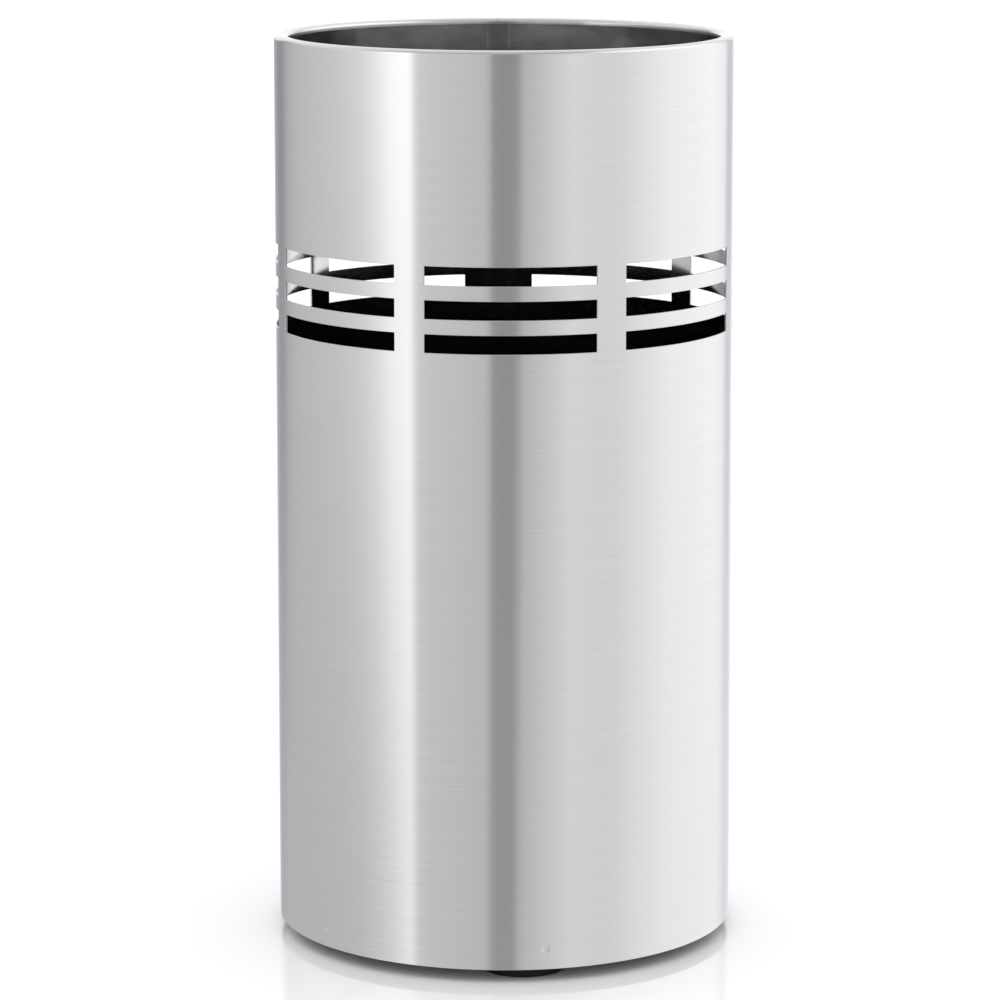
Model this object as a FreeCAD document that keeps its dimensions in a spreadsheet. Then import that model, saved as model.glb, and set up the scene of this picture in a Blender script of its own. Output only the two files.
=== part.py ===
import FreeCAD, Part
import os
import Sketcher

# Umbrella stand: an open stainless tube on three rubber feet, with a drip tray that lifts out.
# The origin is on the floor, under the middle of the tube. +Z is up and -Y is the front.
# Lengths are in millimetres and angles in degrees.

DIMENSIONS = {
    # Overall
    "stand_diameter": 253,
    "stand_height": 500,
    "floor_gap": 7,
    # Shell: rolled sheet with a rim bent inwards, level, and then down to a short lip
    "shell_sheet": 1,
    "shell_edge_round": 0.4,
    "rim_width": 8.5,
    "rim_bend": 2,
    "rim_drop": 3.4,
    # Slots: rows stacked below the rim, in groups that leave a wide web at the back for the seam
    "slot_drop": 113,
    "slot_height": 10,
    "slot_bar": 8,
    "slot_groups": 7,
    "slot_web_angle": 7.8,
    "seam_web_angle": 17.8,
    "slot_overrun": 1,
    # Spot welds between the shell and the base pan
    "weld_marks": 6,
    "weld_turn": 8.5,
    "weld_rise": 11,
    "weld_mark_diameter": 4.4,
    "weld_mark_depth": 0.15,
    # Base pan: pressed dish with an upturned flange
    "pan_sheet": 1,
    "pan_inset": 2,
    "pan_flange": 20,
    "pan_bend": 3,
    "pan_step_diameter": 112,
    "pan_step_rise": 2,
    "pan_step_slope": 3,
    # Feet
    "feet": 3,
    "foot_turn": 4.5,
    "foot_diameter": 47,
    "foot_inset": 7.5,
    "foot_round": 1.5,
    "foot_seat_diameter": 18,
    "foot_seat_depth": 4.6,
    # Screws, washers and nuts of the feet
    "screw_diameter": 4,
    "screw_play": 0.25,
    "screw_tail": 1.4,
    "screw_tip": 0.5,
    "head_diameter": 8,
    "head_height": 2.4,
    "head_crown": 1.5,
    "cross_span": 4.4,
    "cross_width": 1.1,
    "cross_depth": 1.3,
    "seat_washer_diameter": 15,
    "seat_washer_thickness": 1.2,
    "nut_washer_diameter": 9,
    "nut_washer_thickness": 0.8,
    "nut_flats": 7,
    "nut_height": 3.2,
    # Drip tray
    "tray_play": 4,
    "tray_height": 34,
    "tray_wall": 2,
    "tray_taper": 3,
    "tray_rise": 8,
    "tray_lip_width": 3,
    "tray_lip_depth": 6,
    "tray_lip_wall": 1.6,
    "tray_lip_round": 1,
    "tray_corner": 4,
    # Ridges on the floor of the tray
    "ridge_width": 2.4,
    "ridge_height": 1.5,
    "ridge_ring_first": 24,
    "ridge_ring_step": 36,
    "ridge_spokes": 8,
}

FEET = DIMENSIONS["feet"]
SLOT_ROWS = 3
RIDGE_RINGS = 3
SMALLEST_CUT = 0.01

document = FreeCAD.newDocument("umbrella_stand")
sheet = document.addObject("Spreadsheet::Sheet", "sheet")
for row, (alias, value) in enumerate(DIMENSIONS.items(), start=1):
    sheet.set(f"A{row}", alias.replace("_", " "))
    sheet.set(f"B{row}", str(value))
    sheet.setAlias(f"B{row}", alias)
document.recompute()

# Places that several pieces share, as expressions on the sheet.
SHELL_RADIUS = "sheet.stand_diameter / 2"
SHELL_INSIDE = f"({SHELL_RADIUS} - sheet.shell_sheet)"
SHELL_HEIGHT = "(sheet.stand_height - sheet.floor_gap)"
MOUTH_RADIUS = f"({SHELL_RADIUS} - sheet.rim_width)"
PAN_UNDERSIDE = "(sheet.floor_gap + sheet.pan_inset)"
PAN_FLOOR = f"({PAN_UNDERSIDE} + sheet.pan_sheet)"
FOOT_CIRCLE = f"({SHELL_INSIDE} - sheet.foot_inset - sheet.foot_diameter / 2)"
SCREW_RADIUS = "sheet.screw_diameter / 2"
HOLE_RADIUS = f"({SCREW_RADIUS} + sheet.screw_play)"


def value_of(expression):
    """Work out an expression on the sheet."""
    return float(sheet.evalExpression(expression))


def bind(thing, **expressions):
    """Bind properties to the sheet; a double underscore stands for the dot in a property's path."""
    for name, expression in expressions.items():
        thing.setExpression(name.replace("__", "."), expression)


def new_body(label):
    """Start the body of one sub-part."""
    body = document.addObject("PartDesign::Body", label)
    body.Label = label
    return body


def origin_item(body, role):
    """Find one of the body's own origin planes or axes."""
    return next(item for item in body.Origin.OriginFeatures if item.Role == role)


def new_sketch(body, name, role):
    """Put a sketch on one of the body's origin planes."""
    sketch = body.newObject("Sketcher::SketchObject", name)
    sketch.AttachmentSupport = (origin_item(body, role), [""])
    sketch.MapMode = "FlatFace"
    return sketch


def hold_point(sketch, edge, end, x, y):
    """Tie the end of an edge to its place, given as two expressions from the sketch's origin."""
    places = (("DistanceX", x, -2), ("DistanceY", y, -1))
    for kind, expression, axis in places:
        place = value_of(expression)
        if place == 0:
            sketch.addConstraint(Sketcher.Constraint("PointOnObject", edge, end, axis))
            continue
        index = sketch.addConstraint(Sketcher.Constraint(kind, -1, 1, edge, end, place))
        sketch.setExpression(f"Constraints[{index}]", expression)


def arc_between(start, end, bend):
    """Draw the shorter arc from start to end, turning left where bend is positive."""
    chord = end - start
    bulge = abs(bend) - (bend * bend - chord.Length ** 2 / 4) ** 0.5
    right = FreeCAD.Vector(chord.y, -chord.x, 0).normalize()
    side = 1 if bend > 0 else -1
    return Part.Arc(start, (start + end) / 2 + right * bulge * side, end)


def draw_outline(sketch, corners):
    """Draw one closed outline through corners (x, y); a third value is the radius of the arc that
    leaves the corner, turning left, or right where it starts with a minus."""
    points = [FreeCAD.Vector(value_of(corner[0]), value_of(corner[1]), 0) for corner in corners]
    first = sketch.GeometryCount
    for index, corner in enumerate(corners):
        start = points[index]
        end = points[(index + 1) % len(points)]
        if len(corner) == 2:
            sketch.addGeometry(Part.LineSegment(start, end))
            continue
        edge = sketch.addGeometry(arc_between(start, end, value_of(corner[2])))
        radius = sketch.addConstraint(Sketcher.Constraint("Radius", edge, abs(value_of(corner[2]))))
        sketch.setExpression(f"Constraints[{radius}]", corner[2].lstrip("-"))
    for index, corner in enumerate(corners):
        edge = first + index
        following = first + (index + 1) % len(corners)
        ends_left = isinstance(sketch.Geometry[edge], Part.LineSegment) or not corner[2].startswith("-")
        out_point = 2 if ends_left else 1
        starts_left = isinstance(sketch.Geometry[following], Part.LineSegment)
        starts_left = starts_left or not corners[(index + 1) % len(corners)][2].startswith("-")
        in_point = 1 if starts_left else 2
        sketch.addConstraint(Sketcher.Constraint("Coincident", edge, out_point, following, in_point))
        next_corner = corners[(index + 1) % len(corners)]
        hold_point(sketch, following, in_point, next_corner[0], next_corner[1])


def draw_rectangle(sketch, left, bottom, right, top):
    """Draw one rectangle between two corners."""
    draw_outline(sketch, [(left, bottom), (right, bottom), (right, top), (left, top)])


def draw_circle(sketch, x, y, radius):
    """Draw one circle about a point."""
    centre = FreeCAD.Vector(value_of(x), value_of(y), 0)
    edge = sketch.addGeometry(Part.Circle(centre, FreeCAD.Vector(0, 0, 1), value_of(radius)))
    hold_point(sketch, edge, 3, x, y)
    index = sketch.addConstraint(Sketcher.Constraint("Radius", edge, value_of(radius)))
    sketch.setExpression(f"Constraints[{index}]", radius)


def revolve(body, sketch, name="turned"):
    """Turn a sketch once round the body's own Z axis."""
    feature = body.newObject("PartDesign::Revolution", name)
    feature.Profile = sketch
    feature.ReferenceAxis = (sketch, ["V_Axis"])
    feature.Angle = 360
    feature.Refine = False
    document.recompute()
    return feature


def repeat_round(body, feature, count, angle):
    """Repeat a feature round Z: count and the angle from the first to the last are expressions."""
    pattern = body.newObject("PartDesign::PolarPattern", feature.Name + "_round")
    pattern.Originals = [feature]
    pattern.Axis = (origin_item(body, "Z_Axis"), [""])
    pattern.Refine = False
    bind(pattern, Angle=angle, Occurrences=count)
    body.Tip = pattern
    document.recompute()
    return pattern


def expect_less(body, before, what):
    """Stop if a cut took nothing away."""
    document.recompute()
    if body.Shape.Volume > before - SMALLEST_CUT:
        raise RuntimeError(f"{body.Label}: {what} cuts nothing")


def make_shell():
    """Rolled tube with its rim turned inwards to a lip, slots, and marks of the spot welds.

    The wall is drawn in bands that meet at the slot edges and above the welds, each with faces of its own.
    """
    body = new_body("shell")
    inside_bend = "-(sheet.rim_bend - sheet.shell_sheet)"
    rim_start = f"({SHELL_HEIGHT} - sheet.rim_bend)"
    lip_end = f"({SHELL_HEIGHT} - sheet.rim_drop)"
    row_tops = [
        f"({SHELL_HEIGHT} - sheet.slot_drop - {row} * (sheet.slot_height + sheet.slot_bar))"
        for row in range(SLOT_ROWS)
    ]
    bands = ["sheet.pan_inset + sheet.pan_flange"]
    for top in reversed(row_tops):
        bands += [f"{top} - sheet.slot_height", top]
    wall = new_sketch(body, "shell_wall", "XZ_Plane")
    draw_outline(wall, [
        (SHELL_INSIDE, "0"),
        (f"{SHELL_RADIUS} - sheet.shell_edge_round", "0", "sheet.shell_edge_round"),
        (SHELL_RADIUS, "sheet.shell_edge_round"),
        *[(SHELL_RADIUS, band) for band in bands],
        (SHELL_RADIUS, rim_start, "sheet.rim_bend"),
        (f"{SHELL_RADIUS} - sheet.rim_bend", SHELL_HEIGHT),
        (f"{MOUTH_RADIUS} + sheet.rim_bend", SHELL_HEIGHT, "sheet.rim_bend"),
        (MOUTH_RADIUS, rim_start),
        (MOUTH_RADIUS, lip_end),
        (f"{MOUTH_RADIUS} + sheet.shell_sheet", lip_end),
        (f"{MOUTH_RADIUS} + sheet.shell_sheet", rim_start, inside_bend),
        (f"{MOUTH_RADIUS} + sheet.rim_bend", f"{SHELL_HEIGHT} - sheet.shell_sheet"),
        (f"{SHELL_RADIUS} - sheet.rim_bend", f"{SHELL_HEIGHT} - sheet.shell_sheet", inside_bend),
        (SHELL_INSIDE, rim_start),
        *[(SHELL_INSIDE, band) for band in reversed(bands)],
    ])
    revolve(body, wall)

    group_pitch = "(360 - sheet.seam_web_angle + sheet.slot_web_angle) / sheet.slot_groups"
    group_span = f"{group_pitch} * (sheet.slot_groups - 1)"
    before = body.Shape.Volume
    rows = new_sketch(body, "slot_rows", "YZ_Plane")
    rows.AttachmentOffset = FreeCAD.Placement(FreeCAD.Vector(), FreeCAD.Rotation(FreeCAD.Vector(0, 1, 0), 1))
    bind(rows, AttachmentOffset__Rotation__Angle=f"({group_span}) / -2 + 180")
    inner_end = f"{SHELL_INSIDE} - sheet.slot_overrun"
    outer_end = f"{SHELL_RADIUS} + sheet.slot_overrun"
    for top in row_tops:
        draw_rectangle(rows, inner_end, f"{top} - sheet.slot_height", outer_end, top)
    slots = body.newObject("PartDesign::Groove", "slots")
    slots.Profile = rows
    slots.ReferenceAxis = (rows, ["V_Axis"])
    slots.Midplane = True
    slots.Refine = False
    bind(slots, Angle=f"{group_pitch} - sheet.slot_web_angle")
    repeat_round(body, slots, "sheet.slot_groups", group_span)
    expect_less(body, before, "the slots")

    before = body.Shape.Volume
    mark = body.newObject("PartDesign::SubtractiveSphere", "weld_mark")
    mark.AttachmentSupport = (origin_item(body, "XY_Plane"), [""])
    mark.MapMode = "FlatFace"
    mark.Refine = False
    mark_radius = "(sheet.weld_mark_diameter ^ 2 / 4 + sheet.weld_mark_depth ^ 2) / (2 * sheet.weld_mark_depth)"
    out = f"({SHELL_RADIUS} - sheet.weld_mark_depth + {mark_radius})"
    bind(
        mark,
        Radius=mark_radius,
        AttachmentOffset__Base__x=f"{out} * sin(sheet.weld_turn * 1 deg)",
        AttachmentOffset__Base__y=f"-{out} * cos(sheet.weld_turn * 1 deg)",
        AttachmentOffset__Base__z="sheet.weld_rise",
    )
    repeat_round(body, mark, "sheet.weld_marks", "360 - 360 / sheet.weld_marks")
    expect_less(body, before, "the weld marks")
    bind(body, Placement__Base__z="sheet.floor_gap")


def make_base_pan():
    """Pressed dish that closes the tube: upturned flange, raised middle and a hole for each foot's screw."""
    body = new_body("base_pan")
    outer_bend = "(sheet.pan_bend + sheet.pan_sheet)"
    inside = f"({SHELL_INSIDE} - sheet.pan_sheet)"
    step_top = "sheet.pan_step_diameter / 2"
    step_foot = f"({step_top} + sheet.pan_step_slope)"
    dish = new_sketch(body, "dish", "XZ_Plane")
    draw_outline(dish, [
        ("0", "sheet.pan_step_rise"),
        (step_top, "sheet.pan_step_rise"),
        (step_foot, "0"),
        (f"{SHELL_INSIDE} - {outer_bend}", "0", outer_bend),
        (SHELL_INSIDE, outer_bend),
        (SHELL_INSIDE, "sheet.pan_flange"),
        (inside, "sheet.pan_flange"),
        (inside, outer_bend, "-sheet.pan_bend"),
        (f"{inside} - sheet.pan_bend", "sheet.pan_sheet"),
        (step_foot, "sheet.pan_sheet"),
        (step_top, "sheet.pan_step_rise + sheet.pan_sheet"),
        ("0", "sheet.pan_step_rise + sheet.pan_sheet"),
    ])
    revolve(body, dish)

    before = body.Shape.Volume
    hole = new_sketch(body, "screw_hole", "XY_Plane")
    draw_circle(
        hole,
        f"{FOOT_CIRCLE} * sin(sheet.foot_turn * 1 deg)",
        f"-{FOOT_CIRCLE} * cos(sheet.foot_turn * 1 deg)",
        HOLE_RADIUS,
    )
    holes = body.newObject("PartDesign::Pocket", "screw_holes")
    holes.Profile = hole
    holes.Type = "ThroughAll"
    holes.Reversed = True
    repeat_round(body, holes, "sheet.feet", "360 - 360 / sheet.feet")
    expect_less(body, before, "the screw holes")
    bind(body, Placement__Base__z=PAN_UNDERSIDE)


def make_drip_tray():
    """Moulded tray: a tapered wall that runs down past the floor as a skirt, a turned-down lip and ridges."""
    body = new_body("drip_tray")
    lip = f"({MOUTH_RADIUS} - sheet.tray_play)"
    wall_top = f"({lip} - sheet.tray_lip_width)"
    wall_foot = f"({wall_top} - sheet.tray_taper)"
    floor = "(sheet.tray_rise + sheet.tray_wall)"

    def wall_at(rise):
        return f"({wall_foot} + sheet.tray_taper * {rise} / sheet.tray_height)"

    lip_under = "(sheet.tray_height - sheet.tray_lip_wall)"
    lip_low = "(sheet.tray_height - sheet.tray_lip_depth)"
    section = new_sketch(body, "section", "XZ_Plane")
    draw_outline(section, [
        ("0", "sheet.tray_rise"),
        (f"{wall_at('sheet.tray_rise')} - sheet.tray_wall", "sheet.tray_rise"),
        (f"{wall_foot} - sheet.tray_wall", "0"),
        (wall_foot, "0"),
        (wall_at(lip_under), lip_under),
        (f"{lip} - sheet.tray_lip_wall", lip_under),
        (f"{lip} - sheet.tray_lip_wall", lip_low),
        (lip, lip_low),
        (lip, "sheet.tray_height - sheet.tray_lip_round", "sheet.tray_lip_round"),
        (f"{lip} - sheet.tray_lip_round", "sheet.tray_height"),
        (f"{wall_top} - sheet.tray_wall", "sheet.tray_height"),
        (f"{wall_at(f'({floor} + sheet.tray_corner)')} - sheet.tray_wall", f"{floor} + sheet.tray_corner"),
        (f"{wall_at(floor)} - sheet.tray_wall - sheet.tray_corner", floor),
        ("0", floor),
    ])
    revolve(body, section)

    rings = new_sketch(body, "ridge_rings", "XZ_Plane")
    for ring in range(RIDGE_RINGS):
        middle = f"(sheet.ridge_ring_first + {ring} * sheet.ridge_ring_step)"
        half = "sheet.ridge_width / 2"
        draw_rectangle(rings, f"{middle} - {half}", floor, f"{middle} + {half}", f"{floor} + sheet.ridge_height")
    revolve(body, rings, "ridges")

    last_ring = f"(sheet.ridge_ring_first + {RIDGE_RINGS - 1} * sheet.ridge_ring_step)"
    line = new_sketch(body, "ridge_spoke", "XY_Plane")
    draw_rectangle(line, "sheet.ridge_ring_first", "sheet.ridge_width / -2", last_ring, "sheet.ridge_width / 2")
    bind(line, AttachmentOffset__Base__z=floor)
    spoke = body.newObject("PartDesign::Pad", "spoke")
    spoke.Profile = line
    bind(spoke, Length="sheet.ridge_height")
    repeat_round(body, spoke, "sheet.ridge_spokes", "360 - 360 / sheet.ridge_spokes")
    bind(body, Placement__Base__z=PAN_FLOOR)


def stand_on_foot_circle(piece, number, rise):
    """Place a piece on the axis of one foot, at a height above the floor."""
    turn = f"(sheet.foot_turn + {number} * 360 / sheet.feet) * 1 deg"
    bind(
        piece,
        Placement__Base__x=f"{FOOT_CIRCLE} * sin({turn})",
        Placement__Base__y=f"-{FOOT_CIRCLE} * cos({turn})",
        Placement__Base__z=rise,
    )


def make_foot(number):
    """Rubber foot: a disc with a rounded tread edge, a seat for washer and screw head, and a screw hole."""
    body = new_body(f"foot_{number + 1}")
    radius = "sheet.foot_diameter / 2"
    seat = "sheet.foot_seat_diameter / 2"
    section = new_sketch(body, "foot_section", "XZ_Plane")
    draw_outline(section, [
        (seat, "0"),
        (f"{radius} - sheet.foot_round", "0", "sheet.foot_round"),
        (radius, "sheet.foot_round"),
        (radius, PAN_UNDERSIDE),
        (HOLE_RADIUS, PAN_UNDERSIDE),
        (HOLE_RADIUS, "sheet.foot_seat_depth"),
        (seat, "sheet.foot_seat_depth"),
    ])
    revolve(body, section)
    stand_on_foot_circle(body, number, "0")


def make_screw(number):
    """Pan-head machine screw with a cross recess, pointing up through the foot and the pan."""
    body = new_body(f"foot_screw_{number + 1}")
    head = "sheet.head_diameter / 2"
    grip = f"(sheet.seat_washer_thickness + {PAN_UNDERSIDE} - sheet.foot_seat_depth + sheet.pan_sheet)"
    nut_stack = "(sheet.nut_washer_thickness + sheet.nut_height + sheet.screw_tail)"
    tip = f"(sheet.head_height + {grip} + {nut_stack})"
    section = new_sketch(body, "screw_section", "XZ_Plane")
    draw_outline(section, [
        ("0", "0"),
        (f"{head} - sheet.head_crown", "0", "sheet.head_crown"),
        (head, "sheet.head_crown"),
        (head, "sheet.head_height"),
        (SCREW_RADIUS, "sheet.head_height"),
        (SCREW_RADIUS, f"{tip} - sheet.screw_tip"),
        (f"{SCREW_RADIUS} - sheet.screw_tip", tip),
        ("0", tip),
    ])
    revolve(body, section)

    before = body.Shape.Volume
    arm = "sheet.cross_span / 2"
    side = "sheet.cross_width / 2"
    cross = new_sketch(body, "cross", "XY_Plane")
    draw_outline(cross, [
        (arm, f"-{side}"),
        (arm, side),
        (side, side),
        (side, arm),
        (f"-{side}", arm),
        (f"-{side}", side),
        (f"-{arm}", side),
        (f"-{arm}", f"-{side}"),
        (f"-{side}", f"-{side}"),
        (f"-{side}", f"-{arm}"),
        (side, f"-{arm}"),
        (side, f"-{side}"),
    ])
    recess = body.newObject("PartDesign::Pocket", "recess")
    recess.Profile = cross
    recess.Reversed = True
    bind(recess, Length="sheet.cross_depth")
    expect_less(body, before, "the cross recess")
    rise = "sheet.foot_seat_depth - sheet.seat_washer_thickness - sheet.head_height"
    stand_on_foot_circle(body, number, rise)


def drilled(label, blank, radius, height):
    """Drill a blank through with a plain hole."""
    drill = document.addObject("Part::Cylinder", f"{label}_hole")
    bind(drill, Radius=radius, Height=height)
    piece = document.addObject("Part::Cut", label)
    piece.Label = label
    piece.Base = blank
    piece.Tool = drill
    return piece


def make_washer(label, number, diameter, thickness, rise):
    """Flat washer round a foot's screw."""
    blank = document.addObject("Part::Cylinder", f"{label}_blank")
    bind(blank, Radius=f"{diameter} / 2", Height=thickness)
    stand_on_foot_circle(drilled(label, blank, HOLE_RADIUS, thickness), number, rise)


def make_nut(number):
    """Hexagon nut on the screw, above the pan."""
    label = f"foot_nut_{number + 1}"
    blank = document.addObject("Part::Prism", f"{label}_blank")
    blank.Polygon = 6
    bind(blank, Circumradius="sheet.nut_flats / 2 / cos(30 deg)", Height="sheet.nut_height")
    nut = drilled(label, blank, SCREW_RADIUS, "sheet.nut_height")
    stand_on_foot_circle(nut, number, f"{PAN_FLOOR} + sheet.nut_washer_thickness")


def make_foot_set(number):
    """One foot with its fixings: seat washer and screw from below, washer and nut above the pan."""
    make_foot(number)
    make_washer(
        f"foot_seat_washer_{number + 1}", number, "sheet.seat_washer_diameter", "sheet.seat_washer_thickness",
        "sheet.foot_seat_depth - sheet.seat_washer_thickness",
    )
    make_screw(number)
    make_washer(
        f"foot_nut_washer_{number + 1}", number, "sheet.nut_washer_diameter", "sheet.nut_washer_thickness",
        PAN_FLOOR,
    )
    make_nut(number)


make_shell()
make_base_pan()
make_drip_tray()
for foot in range(FEET):
    make_foot_set(foot)
document.recompute()

for item in document.Objects:
    if {"Invalid", "Error"} & set(item.State):
        raise RuntimeError(f"{item.Label} did not build: {item.State}")

pieces = [item for item in document.Objects if item.TypeId in ("PartDesign::Body", "Part::Cut")]
for piece in pieces:
    if piece.Shape.isNull() or not piece.Shape.isValid():
        raise RuntimeError(f"{piece.Label} has no valid shape")

os.makedirs("parts", exist_ok=True)
for piece in pieces:
    piece.Shape.exportStep(f"parts/{piece.Label}.step")
    box = piece.Shape.BoundBox
    print(f"{piece.Label}: {piece.Shape.Volume:.0f} mm3, z {box.ZMin:.2f} to {box.ZMax:.2f}")
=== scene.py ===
import math

import bmesh
import bpy
from mathutils import Matrix, Vector


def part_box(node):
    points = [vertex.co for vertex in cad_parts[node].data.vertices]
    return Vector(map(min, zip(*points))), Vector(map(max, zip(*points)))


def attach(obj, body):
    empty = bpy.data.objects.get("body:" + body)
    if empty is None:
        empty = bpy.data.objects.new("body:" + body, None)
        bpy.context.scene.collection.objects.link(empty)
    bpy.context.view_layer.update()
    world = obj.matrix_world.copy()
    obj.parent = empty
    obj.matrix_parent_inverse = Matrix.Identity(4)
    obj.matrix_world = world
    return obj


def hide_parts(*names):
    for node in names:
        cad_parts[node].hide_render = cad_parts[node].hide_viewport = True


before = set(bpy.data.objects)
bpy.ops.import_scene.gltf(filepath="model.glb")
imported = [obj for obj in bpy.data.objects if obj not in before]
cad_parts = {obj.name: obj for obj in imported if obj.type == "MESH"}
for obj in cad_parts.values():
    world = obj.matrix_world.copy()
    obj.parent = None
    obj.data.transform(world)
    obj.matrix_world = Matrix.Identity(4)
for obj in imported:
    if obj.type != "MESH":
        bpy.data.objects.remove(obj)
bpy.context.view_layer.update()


# Shell. One sheet of stainless steel rolled into a tube and welded along the back, brushed round outside and
# left as rolled inside. The rim is turned inwards, level, and then down to a short lip. The slots are punched
# while the sheet is flat, so their edges are square, and spot welds hold the base pan near the foot.
MM = 0.001
SHEET = 1.0 * MM
EDGE_BREAK = 0.12 * MM
RIM_WIDTH = 8.5 * MM
RIM_BEND = 2.0 * MM
RIM_EASE = 0.6 * MM
RIM_DROP = 3.4 * MM
RIM_CROWN = 0.15 * MM
BEND_STEPS = 12
SLOT_GROUPS = 7
SLOT_WEB = math.radians(7.8)
SEAM_WEB = math.radians(17.8)
SLOT_ROWS = 3
SLOT_HEIGHT = 10 * MM
SLOT_BAR = 8 * MM
SLOT_DROP = 113 * MM
STEP = math.radians(1)
MERGED = 0.01 * MM
SHARP = math.radians(35)
SQUARE = math.radians(60)
WELDS = 6
WELD_TURN = math.radians(8.5)
WELD_RISE = 11 * MM
WELD_RADIUS = 2.2 * MM
WELD_DEPTH = 0.15 * MM
WELD_PATCH = 4 * MM
WELD_CUTS = 9
SEAM_WIDTH = 3 * MM
SEAM_GROUND = 6.2 * MM
GROUND_LINE = 0.8 * MM
DEBURRED = 30 * MM
HAIR_LENGTH = 20 * MM
HAIR_WIDTH = 0.6 * MM
STREAK_LENGTH = 90 * MM
STREAK_WIDTH = 1.6 * MM
SCRATCH_WIDTH = 0.8 * MM
BRUSH_SHADES = (0.93, 1.07)
MILL_DARK = (0.46, 0.465, 0.48, 1)
MILL_LIGHT = (0.70, 0.70, 0.705, 1)

shell_low, shell_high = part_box("shell")
shell_radius = shell_high[0]
shell_foot = shell_low[2]
shell_top = shell_high[2]


class Flow:
    """A socket in a material or in the sky. Arithmetic on it adds Math nodes to the same tree."""

    def __init__(self, tree, socket):
        self.tree = tree
        self.socket = socket

    def node(self, kind, settings=None, sockets=None, out=0):
        """Add a node: its settings first, then the values or links of its sockets."""
        made = self.tree.nodes.new(kind)
        for name, value in (settings or {}).items():
            if name == "stops":
                fill_ramp(made.color_ramp, value)
            else:
                setattr(made, name, value)
        for name, value in (sockets or {}).items():
            if isinstance(value, Flow):
                self.tree.links.new(value.socket, made.inputs[name])
            else:
                made.inputs[name].default_value = value
        return Flow(self.tree, made.outputs[out])

    def maths(self, operation, first, second=0.0):
        return self.node("ShaderNodeMath", {"operation": operation}, {0: first, 1: second})

    def __add__(self, other):
        return self.maths("ADD", self, other)

    def __radd__(self, other):
        return self.maths("ADD", other, self)

    def __sub__(self, other):
        return self.maths("SUBTRACT", self, other)

    def __rsub__(self, other):
        return self.maths("SUBTRACT", other, self)

    def __mul__(self, other):
        return self.maths("MULTIPLY", self, other)

    def __rmul__(self, other):
        return self.maths("MULTIPLY", other, self)

    def __truediv__(self, other):
        return self.maths("DIVIDE", self, other)

    def __abs__(self):
        return self.maths("ABSOLUTE", self)

    def turn(self, north):
        """The angle from the front to the place that lies this far east and the other value north."""
        return self.maths("ARCTAN2", self, north * -1)

    def parts(self):
        """Split a place or a direction into its X, Y and Z."""
        return [self.node("ShaderNodeSeparateXYZ", sockets={0: self}, out=axis) for axis in range(3)]

    def step(self, low, high):
        """Rise smoothly from 0 at low to 1 at high."""
        limits = {"Value": self, "From Min": low, "From Max": high}
        return self.node("ShaderNodeMapRange", {"interpolation_type": "SMOOTHSTEP"}, limits)

    def mix(self, first, second):
        """Blend two colours by this factor."""
        return self.node("ShaderNodeMix", {"data_type": "RGBA"}, {0: self, 6: first, 7: second}, out=2)

    def blend(self, first, second):
        """Blend two shaders by this factor."""
        return self.node("ShaderNodeMixShader", sockets={0: self, 1: first, 2: second})


def fill_ramp(ramp, stops):
    """Give a colour ramp its stops, each a place from 0 to 1 and a grey."""
    while len(ramp.elements) > 1:
        ramp.elements.remove(ramp.elements[0])
    for index, (place, grey) in enumerate(stops):
        stop = ramp.elements[0] if index == 0 else ramp.elements.new(place)
        stop.position = place
        stop.color = (grey, grey, grey, 1)


class Finish:
    """A material with its shader, and the places on the piece that its patterns start from."""

    def __init__(self, name, constants=None):
        self.material = bpy.data.materials.new(name)
        self.material.use_nodes = True
        self.tree = self.material.node_tree
        self.shader = self.tree.nodes["Principled BSDF"]
        self.x, self.y, self.z = Flow(self.tree, None).node("ShaderNodeTexCoord", out="Object").parts()
        for socket, value in (constants or {}).items():
            self.shader.inputs[socket].default_value = value

    def set(self, name, flow):
        self.tree.links.new(flow.socket, self.shader.inputs[name])

    def bump(self, height, distance):
        sockets = {"Height": height, "Distance": distance, "Strength": 1.0}
        self.set("Normal", height.node("ShaderNodeBump", sockets=sockets))

    def noise(self, across, along, up, detail=2.0, roughness=0.5):
        """Noise on three numbers, each already divided by the size of the grain that way."""
        place = across.node("ShaderNodeCombineXYZ", sockets={0: across, 1: along, 2: up})
        sockets = {"Vector": place, "Scale": 1.0, "Detail": detail, "Roughness": roughness}
        return place.node("ShaderNodeTexNoise", sockets=sockets)

    def grain(self, sizes, detail=2.0):
        """Noise with grains of three sizes, along X, Y and Z."""
        return self.noise(self.x / sizes[0], self.y / sizes[1], self.z / sizes[2], detail)


def new_object(name, shape, finishes):
    """Make an object of a bmesh and give it its finishes."""
    mesh = bpy.data.meshes.new(name)
    shape.to_mesh(mesh)
    shape.free()
    for finish in finishes:
        mesh.materials.append(finish.material)
    made = bpy.data.objects.new(name, mesh)
    bpy.context.scene.collection.objects.link(made)
    return made


def apply_modifiers(piece):
    """Apply a piece's modifiers to its mesh."""
    graph = bpy.context.evaluated_depsgraph_get()
    mesh = bpy.data.meshes.new_from_object(piece.evaluated_get(graph))
    piece.modifiers.clear()
    piece.data = mesh
    mesh.name = piece.name


def draw_line(shape, corners):
    """Draw a chain of edges through corners (radius, height) in the plane of X and Z."""
    points = [shape.verts.new((radius, 0, height)) for radius, height in corners]
    return points + [shape.edges.new(pair) for pair in zip(points, points[1:])]


def arc(centre, radius, start, end):
    """Points of a bend about a centre (radius, height), from one angle to another in degrees."""
    turns = [math.radians(start + (end - start) * step / BEND_STEPS) for step in range(BEND_STEPS + 1)]
    return [(centre[0] + radius * math.cos(turn), centre[1] + radius * math.sin(turn)) for turn in turns]


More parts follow.
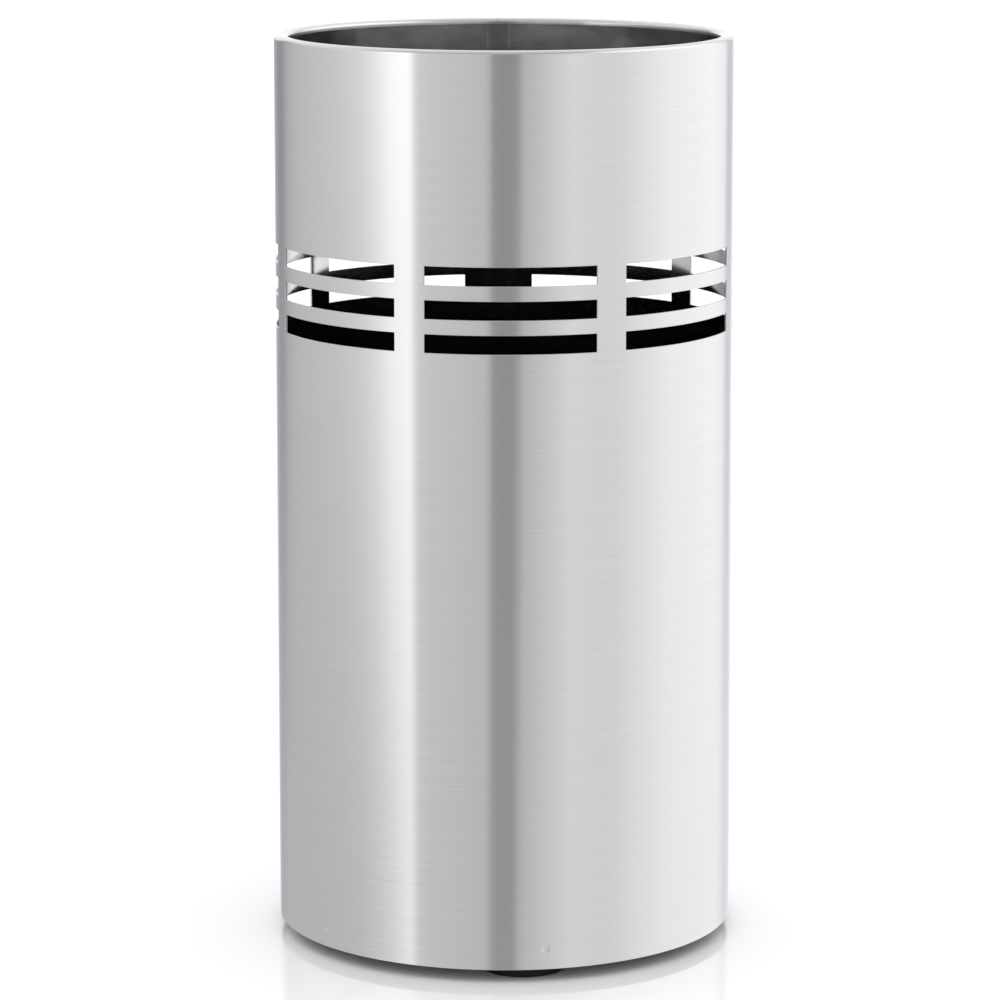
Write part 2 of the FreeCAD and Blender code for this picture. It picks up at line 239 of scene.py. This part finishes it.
def shell_outline(slot_edges):
    """The outer face from the foot to the end of the lip, as corners (radius, height)."""
    weld = shell_foot + WELD_RISE
    wall = [shell_foot, weld - WELD_PATCH, weld + WELD_PATCH, *slot_edges, shell_top - RIM_BEND - RIM_EASE]
    inner = shell_radius - RIM_WIDTH
    bend = shell_top - RIM_BEND - RIM_CROWN
    outline = [(shell_radius, height) for height in wall]
    outline += arc((shell_radius - RIM_BEND, bend), RIM_BEND, 0, 90)
    outline.append((shell_radius - RIM_WIDTH / 2, shell_top))
    outline += arc((inner + RIM_BEND, bend), RIM_BEND, 90, 180)
    outline.append((inner, shell_top - RIM_DROP))
    return outline


def carry_round(shape, column, angle):
    """Spin a column of edges round the tube by an angle, and return the last column."""
    steps = math.ceil(angle / STEP)
    spun = bmesh.ops.spin(shape, geom=column, cent=(0, 0, 0), axis=(0, 0, 1), angle=angle, steps=steps)
    return spun["geom_last"]


def in_slot_row(face, slot_tops):
    height = face.calc_center_median()[2]
    return any(top - SLOT_HEIGHT < height < top for top in slot_tops)


def press_weld(shape, turn):
    """Divide the wall finely round one spot weld and press the electrode's shallow dent into it."""
    middle = Vector((shell_radius * math.sin(turn), -shell_radius * math.cos(turn), shell_foot + WELD_RISE))
    near = {face for face in shape.faces if (face.calc_center_median() - middle).length < WELD_PATCH}
    around = [edge for edge in shape.edges if not near.isdisjoint(edge.link_faces)]
    bmesh.ops.subdivide_edges(shape, edges=around, cuts=WELD_CUTS, use_grid_fill=True)
    for corner in shape.verts:
        away = (corner.co - middle).length
        if away < 2 * WELD_PATCH:
            dent = WELD_DEPTH * max(0.0, 1 - (away / WELD_RADIUS) ** 4)
            corner.co.xy = corner.co.xy.normalized() * (shell_radius - dent)


def make_shell_sheet():
    """Spin the sheet's outer face in turns of slot and web, and leave the slots out."""
    slot_tops = [shell_top - SLOT_DROP - row * (SLOT_HEIGHT + SLOT_BAR) for row in range(SLOT_ROWS)]
    slot_edges = sorted([top - SLOT_HEIGHT for top in slot_tops] + slot_tops)
    slot = (math.tau - SEAM_WEB - (SLOT_GROUPS - 1) * SLOT_WEB) / SLOT_GROUPS
    shape = bmesh.new()
    column = draw_line(shape, shell_outline(slot_edges))
    start = Matrix.Rotation(math.radians(90) + SEAM_WEB / 2, 3, "Z")
    bmesh.ops.rotate(shape, verts=shape.verts, cent=(0, 0, 0), matrix=start)
    punched = []
    for web in [SLOT_WEB] * (SLOT_GROUPS - 1) + [SEAM_WEB]:
        known = set(shape.faces)
        column = carry_round(shape, column, slot)
        punched += [face for face in shape.faces if face not in known and in_slot_row(face, slot_tops)]
        column = carry_round(shape, column, web)
    bmesh.ops.delete(shape, geom=punched, context="FACES")
    bmesh.ops.remove_doubles(shape, verts=shape.verts, dist=MERGED)
    bmesh.ops.recalc_face_normals(shape, faces=shape.faces)
    for number in range(WELDS):
        press_weld(shape, WELD_TURN + number * math.tau / WELDS)
    return shape


def brushed_steel(name, grey, roughness, depth):
    """Steel with hair-fine level lines, in streaks of uneven length, and faint cloudy patches. The brushing
    lets it mirror sharply round the tube and smear up and down."""
    finish = Finish(name, {"Metallic": 1.0, "Anisotropic": 1.0, "Anisotropic Rotation": 0.25})
    along = finish.x.turn(finish.y) * shell_radius
    hair = finish.noise(along / HAIR_LENGTH, 0.0, finish.z / HAIR_WIDTH, detail=3.0, roughness=0.6)
    streak = finish.noise(along / STREAK_LENGTH, 0.0, finish.z / STREAK_WIDTH)
    cloud = finish.grain((120 * MM, 120 * MM, 200 * MM), detail=1.0)
    on_seam = 1 - abs(finish.x).step(SEAM_WIDTH / 4, SEAM_WIDTH / 2)
    weld = on_seam * finish.y.step(0.0, shell_radius / 2)
    rough = (hair - 0.5) * 0.05 + (streak - 0.5) * 0.04 + (cloud - 0.5) * 0.03
    dark, light = [(grey * shade, grey * shade, grey * shade * 1.005, 1) for shade in BRUSH_SHADES]
    finish.set("Roughness", roughness + rough + weld * 0.05)
    finish.set("Base Color", (hair * 0.5 + streak * 0.5 - weld * 0.5).mix(dark, light))
    finish.bump(hair + streak * 0.5, depth)
    return finish


def ground_seam(finish):
    """Mask the two faint lines that grinding leaves along the weld at the back."""
    aside = abs(finish.x)
    starts = aside.step(SEAM_GROUND - GROUND_LINE, SEAM_GROUND)
    ends = aside.step(SEAM_GROUND, SEAM_GROUND + GROUND_LINE)
    return starts * (1 - ends) * finish.y.step(0.0, shell_radius / 2)


outside_steel = brushed_steel("shell_brushed_outside", grey=0.64, roughness=0.18, depth=0.003 * MM)
inside_steel = Finish("shell_mill_inside", {"Metallic": 1.0})
cut_steel = brushed_steel("shell_cut_edge", grey=0.60, roughness=0.30, depth=0.006 * MM)

blush = inside_steel.grain((30 * MM, 30 * MM, 20 * MM), detail=3.0)
rising = inside_steel.x + inside_steel.z
falling = inside_steel.z - inside_steel.x
scratch = inside_steel.noise(rising / SCRATCH_WIDTH, inside_steel.y / (50 * MM), falling / (20 * MM))
# The last stretch under the rim is deburred by hand, so it is duller and more scratched than the rest.
under_rim = inside_steel.z.step(shell_top - DEBURRED, shell_top - DEBURRED / 2)
seam = ground_seam(inside_steel)
inside_steel.set("Roughness", 0.05 + blush * 0.07 + under_rim * (0.02 + blush * 0.14) + seam * 0.04)
inside_steel.set("Base Color", (blush * 0.7 + scratch * 0.3).mix(MILL_DARK, MILL_LIGHT))
inside_steel.bump(scratch * under_rim, 0.004 * MM)

shell_sheet = new_object("shell_sheet", make_shell_sheet(), [outside_steel, inside_steel, cut_steel])
shell_sheet.data.shade_smooth()
thickness = shell_sheet.modifiers.new("sheet", "SOLIDIFY")
thickness.thickness = SHEET
thickness.offset = -1
thickness.use_even_offset = True
thickness.material_offset = 1
thickness.material_offset_rim = 2
edges = shell_sheet.modifiers.new("edges", "BEVEL")
edges.width = EDGE_BREAK
edges.segments = 1
edges.limit_method = "ANGLE"
edges.angle_limit = SQUARE
apply_modifiers(shell_sheet)
shell_sheet.data.set_sharp_from_angle(angle=SHARP)
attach(shell_sheet, "root")
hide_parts("shell")


# Base pan. A dish pressed from plain stainless sheet, dull, with its flange turned up inside the tube and
# spot-welded to it. The screws of the feet pass through it. Its grey is painted shade, far darker than steel,
# so that the hollow under the stand stays dark.
# The pan's two greys are painted shade, far darker than steel.
PAN_SHADE_DARK = (0.17, 0.17, 0.172, 1)
PAN_SHADE_LIGHT = (0.25, 0.25, 0.25, 1)


def refinish(node, finish):
    """Give a CAD node its material."""
    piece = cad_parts[node]
    piece.data.materials.clear()
    piece.data.materials.append(finish.material)


pan_shade_steel = Finish("pan_painted_shade_steel", {"Metallic": 1.0})
mottle = pan_shade_steel.grain((30 * MM, 30 * MM, 30 * MM), detail=4.0)
rolled = pan_shade_steel.grain((1.2 * MM, 40 * MM, 10 * MM))
pan_shade_steel.set("Roughness", 0.32 + (mottle - 0.5) * 0.12 + (rolled - 0.5) * 0.06)
# Painted shade: the pan's grey is far darker than steel so that the hollow under the stand stays dark; the
# mottle and roll lines are the sheet's grain.
pan_shade_steel.set("Base Color", (mottle * 0.6 + rolled * 0.4).mix(PAN_SHADE_DARK, PAN_SHADE_LIGHT))
pan_shade_steel.bump(rolled, 0.004 * MM)
refinish("base_pan", pan_shade_steel)


# Feet. Three round feet moulded from black rubber, which lift the tube's edge just clear of the floor. Each
# is screwed up into the pan, with a washer in the foot and a washer and nut inside the pan.
FEET = (1, 2, 3)
RUBBER_DARK = (0.006, 0.006, 0.006, 1)
RUBBER_BLOOM = (0.013, 0.013, 0.014, 1)
FIXING_DARK = (0.52, 0.52, 0.53, 1)
FIXING_LIGHT = (0.68, 0.68, 0.68, 1)

rubber = Finish("foot_black_rubber", {"Specular IOR Level": 0.2})
bloom = rubber.grain((12 * MM, 12 * MM, 12 * MM), detail=4.0)
skin = rubber.grain((0.6 * MM, 0.6 * MM, 0.6 * MM))
rubber.set("Base Color", bloom.mix(RUBBER_DARK, RUBBER_BLOOM))
rubber.set("Roughness", 0.62 + (bloom - 0.5) * 0.2)
rubber.bump(skin, 0.03 * MM)

fixing_steel = Finish("fixing_stainless", {"Metallic": 1.0})
tooling = fixing_steel.grain((2 * MM, 2 * MM, 0.4 * MM))
fixing_steel.set("Roughness", 0.24 + tooling * 0.12)
fixing_steel.set("Base Color", tooling.mix(FIXING_DARK, FIXING_LIGHT))
fixing_steel.bump(tooling, 0.006 * MM)

for foot in FEET:
    refinish(f"foot_{foot}", rubber)
    for kind in ("seat_washer", "screw", "nut_washer", "nut"):
        refinish(f"foot_{kind}_{foot}", fixing_steel)


# Drip tray. A loose tray moulded from black plastic, with ridges that keep umbrella tips out of the water.
# It stands on the pan and lifts out through the rim.
PLASTIC_DARK = (0.018, 0.018, 0.019, 1)
PLASTIC_LIGHT = (0.028, 0.028, 0.029, 1)

plastic = Finish("tray_black_plastic")
spark = plastic.grain((0.5 * MM, 0.5 * MM, 0.5 * MM), detail=3.0)
haze = plastic.grain((50 * MM, 50 * MM, 50 * MM), detail=3.0)
plastic.set("Base Color", haze.mix(PLASTIC_DARK, PLASTIC_LIGHT))
plastic.set("Roughness", 0.42 + (haze - 0.5) * 0.14)
plastic.bump(spark, 0.03 * MM)
refinish("drip_tray", plastic)


# Floor, sky and camera. The stand is on glossy white acrylic that is clear from below, between grey screens
# and one bright strip on the left, with a white wall behind it and a grey ceiling. The floor is a disc under
# the stand and a ring round it that the steel doesn't mirror, so that the screens show in its place.
FLOOR_RADIUS = 12.0
FLOOR_HEIGHT = -0.05 * MM
FLOOR_SIDES = 96
FLOOR_WHITE = (0.9, 0.9, 0.9, 1)

acrylic = Finish("floor_white_acrylic", {"Base Color": FLOOR_WHITE, "Roughness": 0.07})
white = Flow(acrylic.tree, acrylic.shader.outputs["BSDF"])
clear = white.node("ShaderNodeBsdfTransparent")
from_below = white.node("ShaderNodeNewGeometry", out="Backfacing")
floor_output = acrylic.tree.nodes["Material Output"]
acrylic.tree.links.new(from_below.blend(white, clear).socket, floor_output.inputs["Surface"])


def lay_floor(name, inner, outer):
    """Lay a level disc, or a ring where the inner radius isn't nothing."""
    shape = bmesh.new()
    bmesh.ops.create_circle(shape, cap_ends=not inner, radius=inner or outer, segments=FLOOR_SIDES)
    if inner:
        grown = bmesh.ops.extrude_edge_only(shape, edges=shape.edges)["geom"]
        corners = [item for item in grown if isinstance(item, bmesh.types.BMVert)]
        bmesh.ops.scale(shape, vec=(outer / inner, outer / inner, 1), verts=corners)
    bmesh.ops.translate(shape, vec=(0, 0, FLOOR_HEIGHT), verts=shape.verts)
    shape.normal_update()
    bmesh.ops.reverse_faces(shape, faces=[face for face in shape.faces if face.normal.z < 0])
    laid = new_object(name, shape, [acrylic])
    return laid


# The floor lies a hair under the feet, so that the two faces never share a plane.
lay_floor("floor_under_stand", 0, shell_radius)
lay_floor("floor_round_stand", shell_radius, FLOOR_RADIUS).visible_glossy = False

# The screens as seen from the stand, in degrees from the front and to the right, each with its grey. The
# upper ones stand from just under the level of the eye to the ceiling, and the lower ones on the floor.
UPPER_SCREENS = (
    (-180, 1.0), (-171, 0.95), (-167.5, 0.38), (-157, 0.235), (-148, 0.22), (-140, 0.35), (-128, 0.45),
    (-105, 0.54), (-90, 0.61), (-77, 0.73), (-67, 0.93), (-59, 1.15), (-49, 1.15), (-45.8, 0.67), (-43, 0.60),
    (-28, 0.555), (-18, 0.52), (-9.1, 0.49), (-6.7, 0.235), (5.6, 0.225), (7.2, 0.41), (13, 0.48), (32, 0.70),
    (43, 0.64), (58, 0.63), (75, 0.75), (88, 0.84), (123, 0.90), (140, 0.78), (147, 0.48), (155, 0.50),
    (164, 0.90),
)
LOWER_SCREENS = (
    (-180, 0.80), (-172, 0.60), (-168, 0.38), (-160, 0.34), (-148, 0.41), (-130, 0.41),
    (-110, 0.41), (-92, 0.40), (-77, 0.39), (-68, 0.41), (-60, 0.45), (-55, 0.57), (-49, 0.69), (-46, 0.50),
    (-38, 0.47), (-11, 0.44), (-9, 0.30), (3, 0.30), (4.6, 0.45), (13, 0.49), (33, 0.60), (43, 0.59),
    (53, 0.58), (65, 0.65), (92, 0.75), (110, 0.77), (136, 0.77), (153, 0.59), (164, 0.58), (172, 0.70),
)
SCREENS_MEET = (-0.27, -0.09)
SCREENS_END = (0.2, 0.5)
WHITE = (1, 1, 1, 1)
COOL_WHITE = (0.96, 0.98, 1.05, 1)
COOL_ASIDE = (0.36, 0.45)
FRONT_CEILING = (0.40, 0.40, 0.41, 1)
BACK_CEILING = (0.68, 0.68, 0.69, 1)
BRIGHT_CEILING = (1.1, 1.1, 1.1, 1)
BACK_NORTH = (-0.6, 0.5)
BRIGHT_EAST = (0.45, 0.8)
WALL_WHITE = (0.68, 0.68, 0.68, 1)
WALL_ASIDE = (0.40, 0.45)
WALL_FOOT = (0.0, 0.05)
WALL_TOP = (0.35, 0.6)
LAMPS = 1.0 / 0.63
FLOOR_LIGHT = 1.3

sky = bpy.data.worlds.new("studio")
bpy.context.scene.world = sky
sky.use_nodes = True
sky.cycles.sampling_method = "NONE"
ray = Flow(sky.node_tree, None).node("ShaderNodeTexCoord", out="Generated")
east, north, height = ray.parts()
compass = east.turn(north) / math.tau + 0.5
aside = abs(compass - 0.5)


def show_screens(screens):
    """A ramp of screens right round the stand, with the front in its middle."""
    stops = [(direction / 360 + 0.5, grey) for direction, grey in screens]
    return compass.node("ShaderNodeValToRGB", {"stops": stops}, {0: compass})


def shine(colour, strength):
    return ray.node("ShaderNodeBackground", sockets={"Color": colour, "Strength": strength})


screens = height.step(*SCREENS_MEET).mix(show_screens(LOWER_SCREENS), show_screens(UPPER_SCREENS))
cool = aside.step(*COOL_ASIDE).mix(WHITE, COOL_WHITE)
multiply = {"data_type": "RGBA", "blend_type": "MULTIPLY"}
tinted = screens.node("ShaderNodeMix", multiply, {0: 1.0, 6: screens, 7: cool}, out=2)
ceiling = north.step(*BACK_NORTH).mix(FRONT_CEILING, BACK_CEILING)
ceiling = east.step(*BRIGHT_EAST).mix(ceiling, BRIGHT_CEILING)
room = height.step(*SCREENS_END).mix(tinted, ceiling)
wall = aside.step(*WALL_ASIDE) * height.step(*WALL_FOOT) * (1 - height.step(*WALL_TOP))
mirrored = shine(wall.mix(room, WALL_WHITE), LAMPS)
# The steel mirrors the room, matt pieces stand in an even light, and the background is plain white.
to_eye = ray.node("ShaderNodeLightPath", out="Is Camera Ray")
to_matt = ray.node("ShaderNodeLightPath", out="Is Diffuse Ray")
light = to_eye.blend(to_matt.blend(mirrored, shine(WHITE, FLOOR_LIGHT)), shine(WHITE, 1.0))
sky.node_tree.links.new(light.socket, sky.node_tree.nodes["World Output"].inputs["Surface"])

bpy.context.scene.view_settings.view_transform = "Standard"

CAMERA_TURN = math.radians(-1.6)
CAMERA_DISTANCE = 2.3294
CAMERA_HEIGHT = 0.670
CAMERA_PITCH = math.radians(9.772)
LENS_LENGTH = 153.07
LENS_SHIFT = (-0.0044, -0.05)
FILM_WIDTH = 36

lens = bpy.data.cameras.new("camera")
lens.lens = LENS_LENGTH
lens.sensor_width = FILM_WIDTH
lens.shift_x, lens.shift_y = LENS_SHIFT
camera = bpy.data.objects.new("camera", lens)
bpy.context.scene.collection.objects.link(camera)
camera.location = (
    CAMERA_DISTANCE * math.sin(CAMERA_TURN),
    -CAMERA_DISTANCE * math.cos(CAMERA_TURN),
    CAMERA_HEIGHT,
)
camera.rotation_euler = (math.pi / 2 - CAMERA_PITCH, 0, CAMERA_TURN)
bpy.context.scene.camera = camera
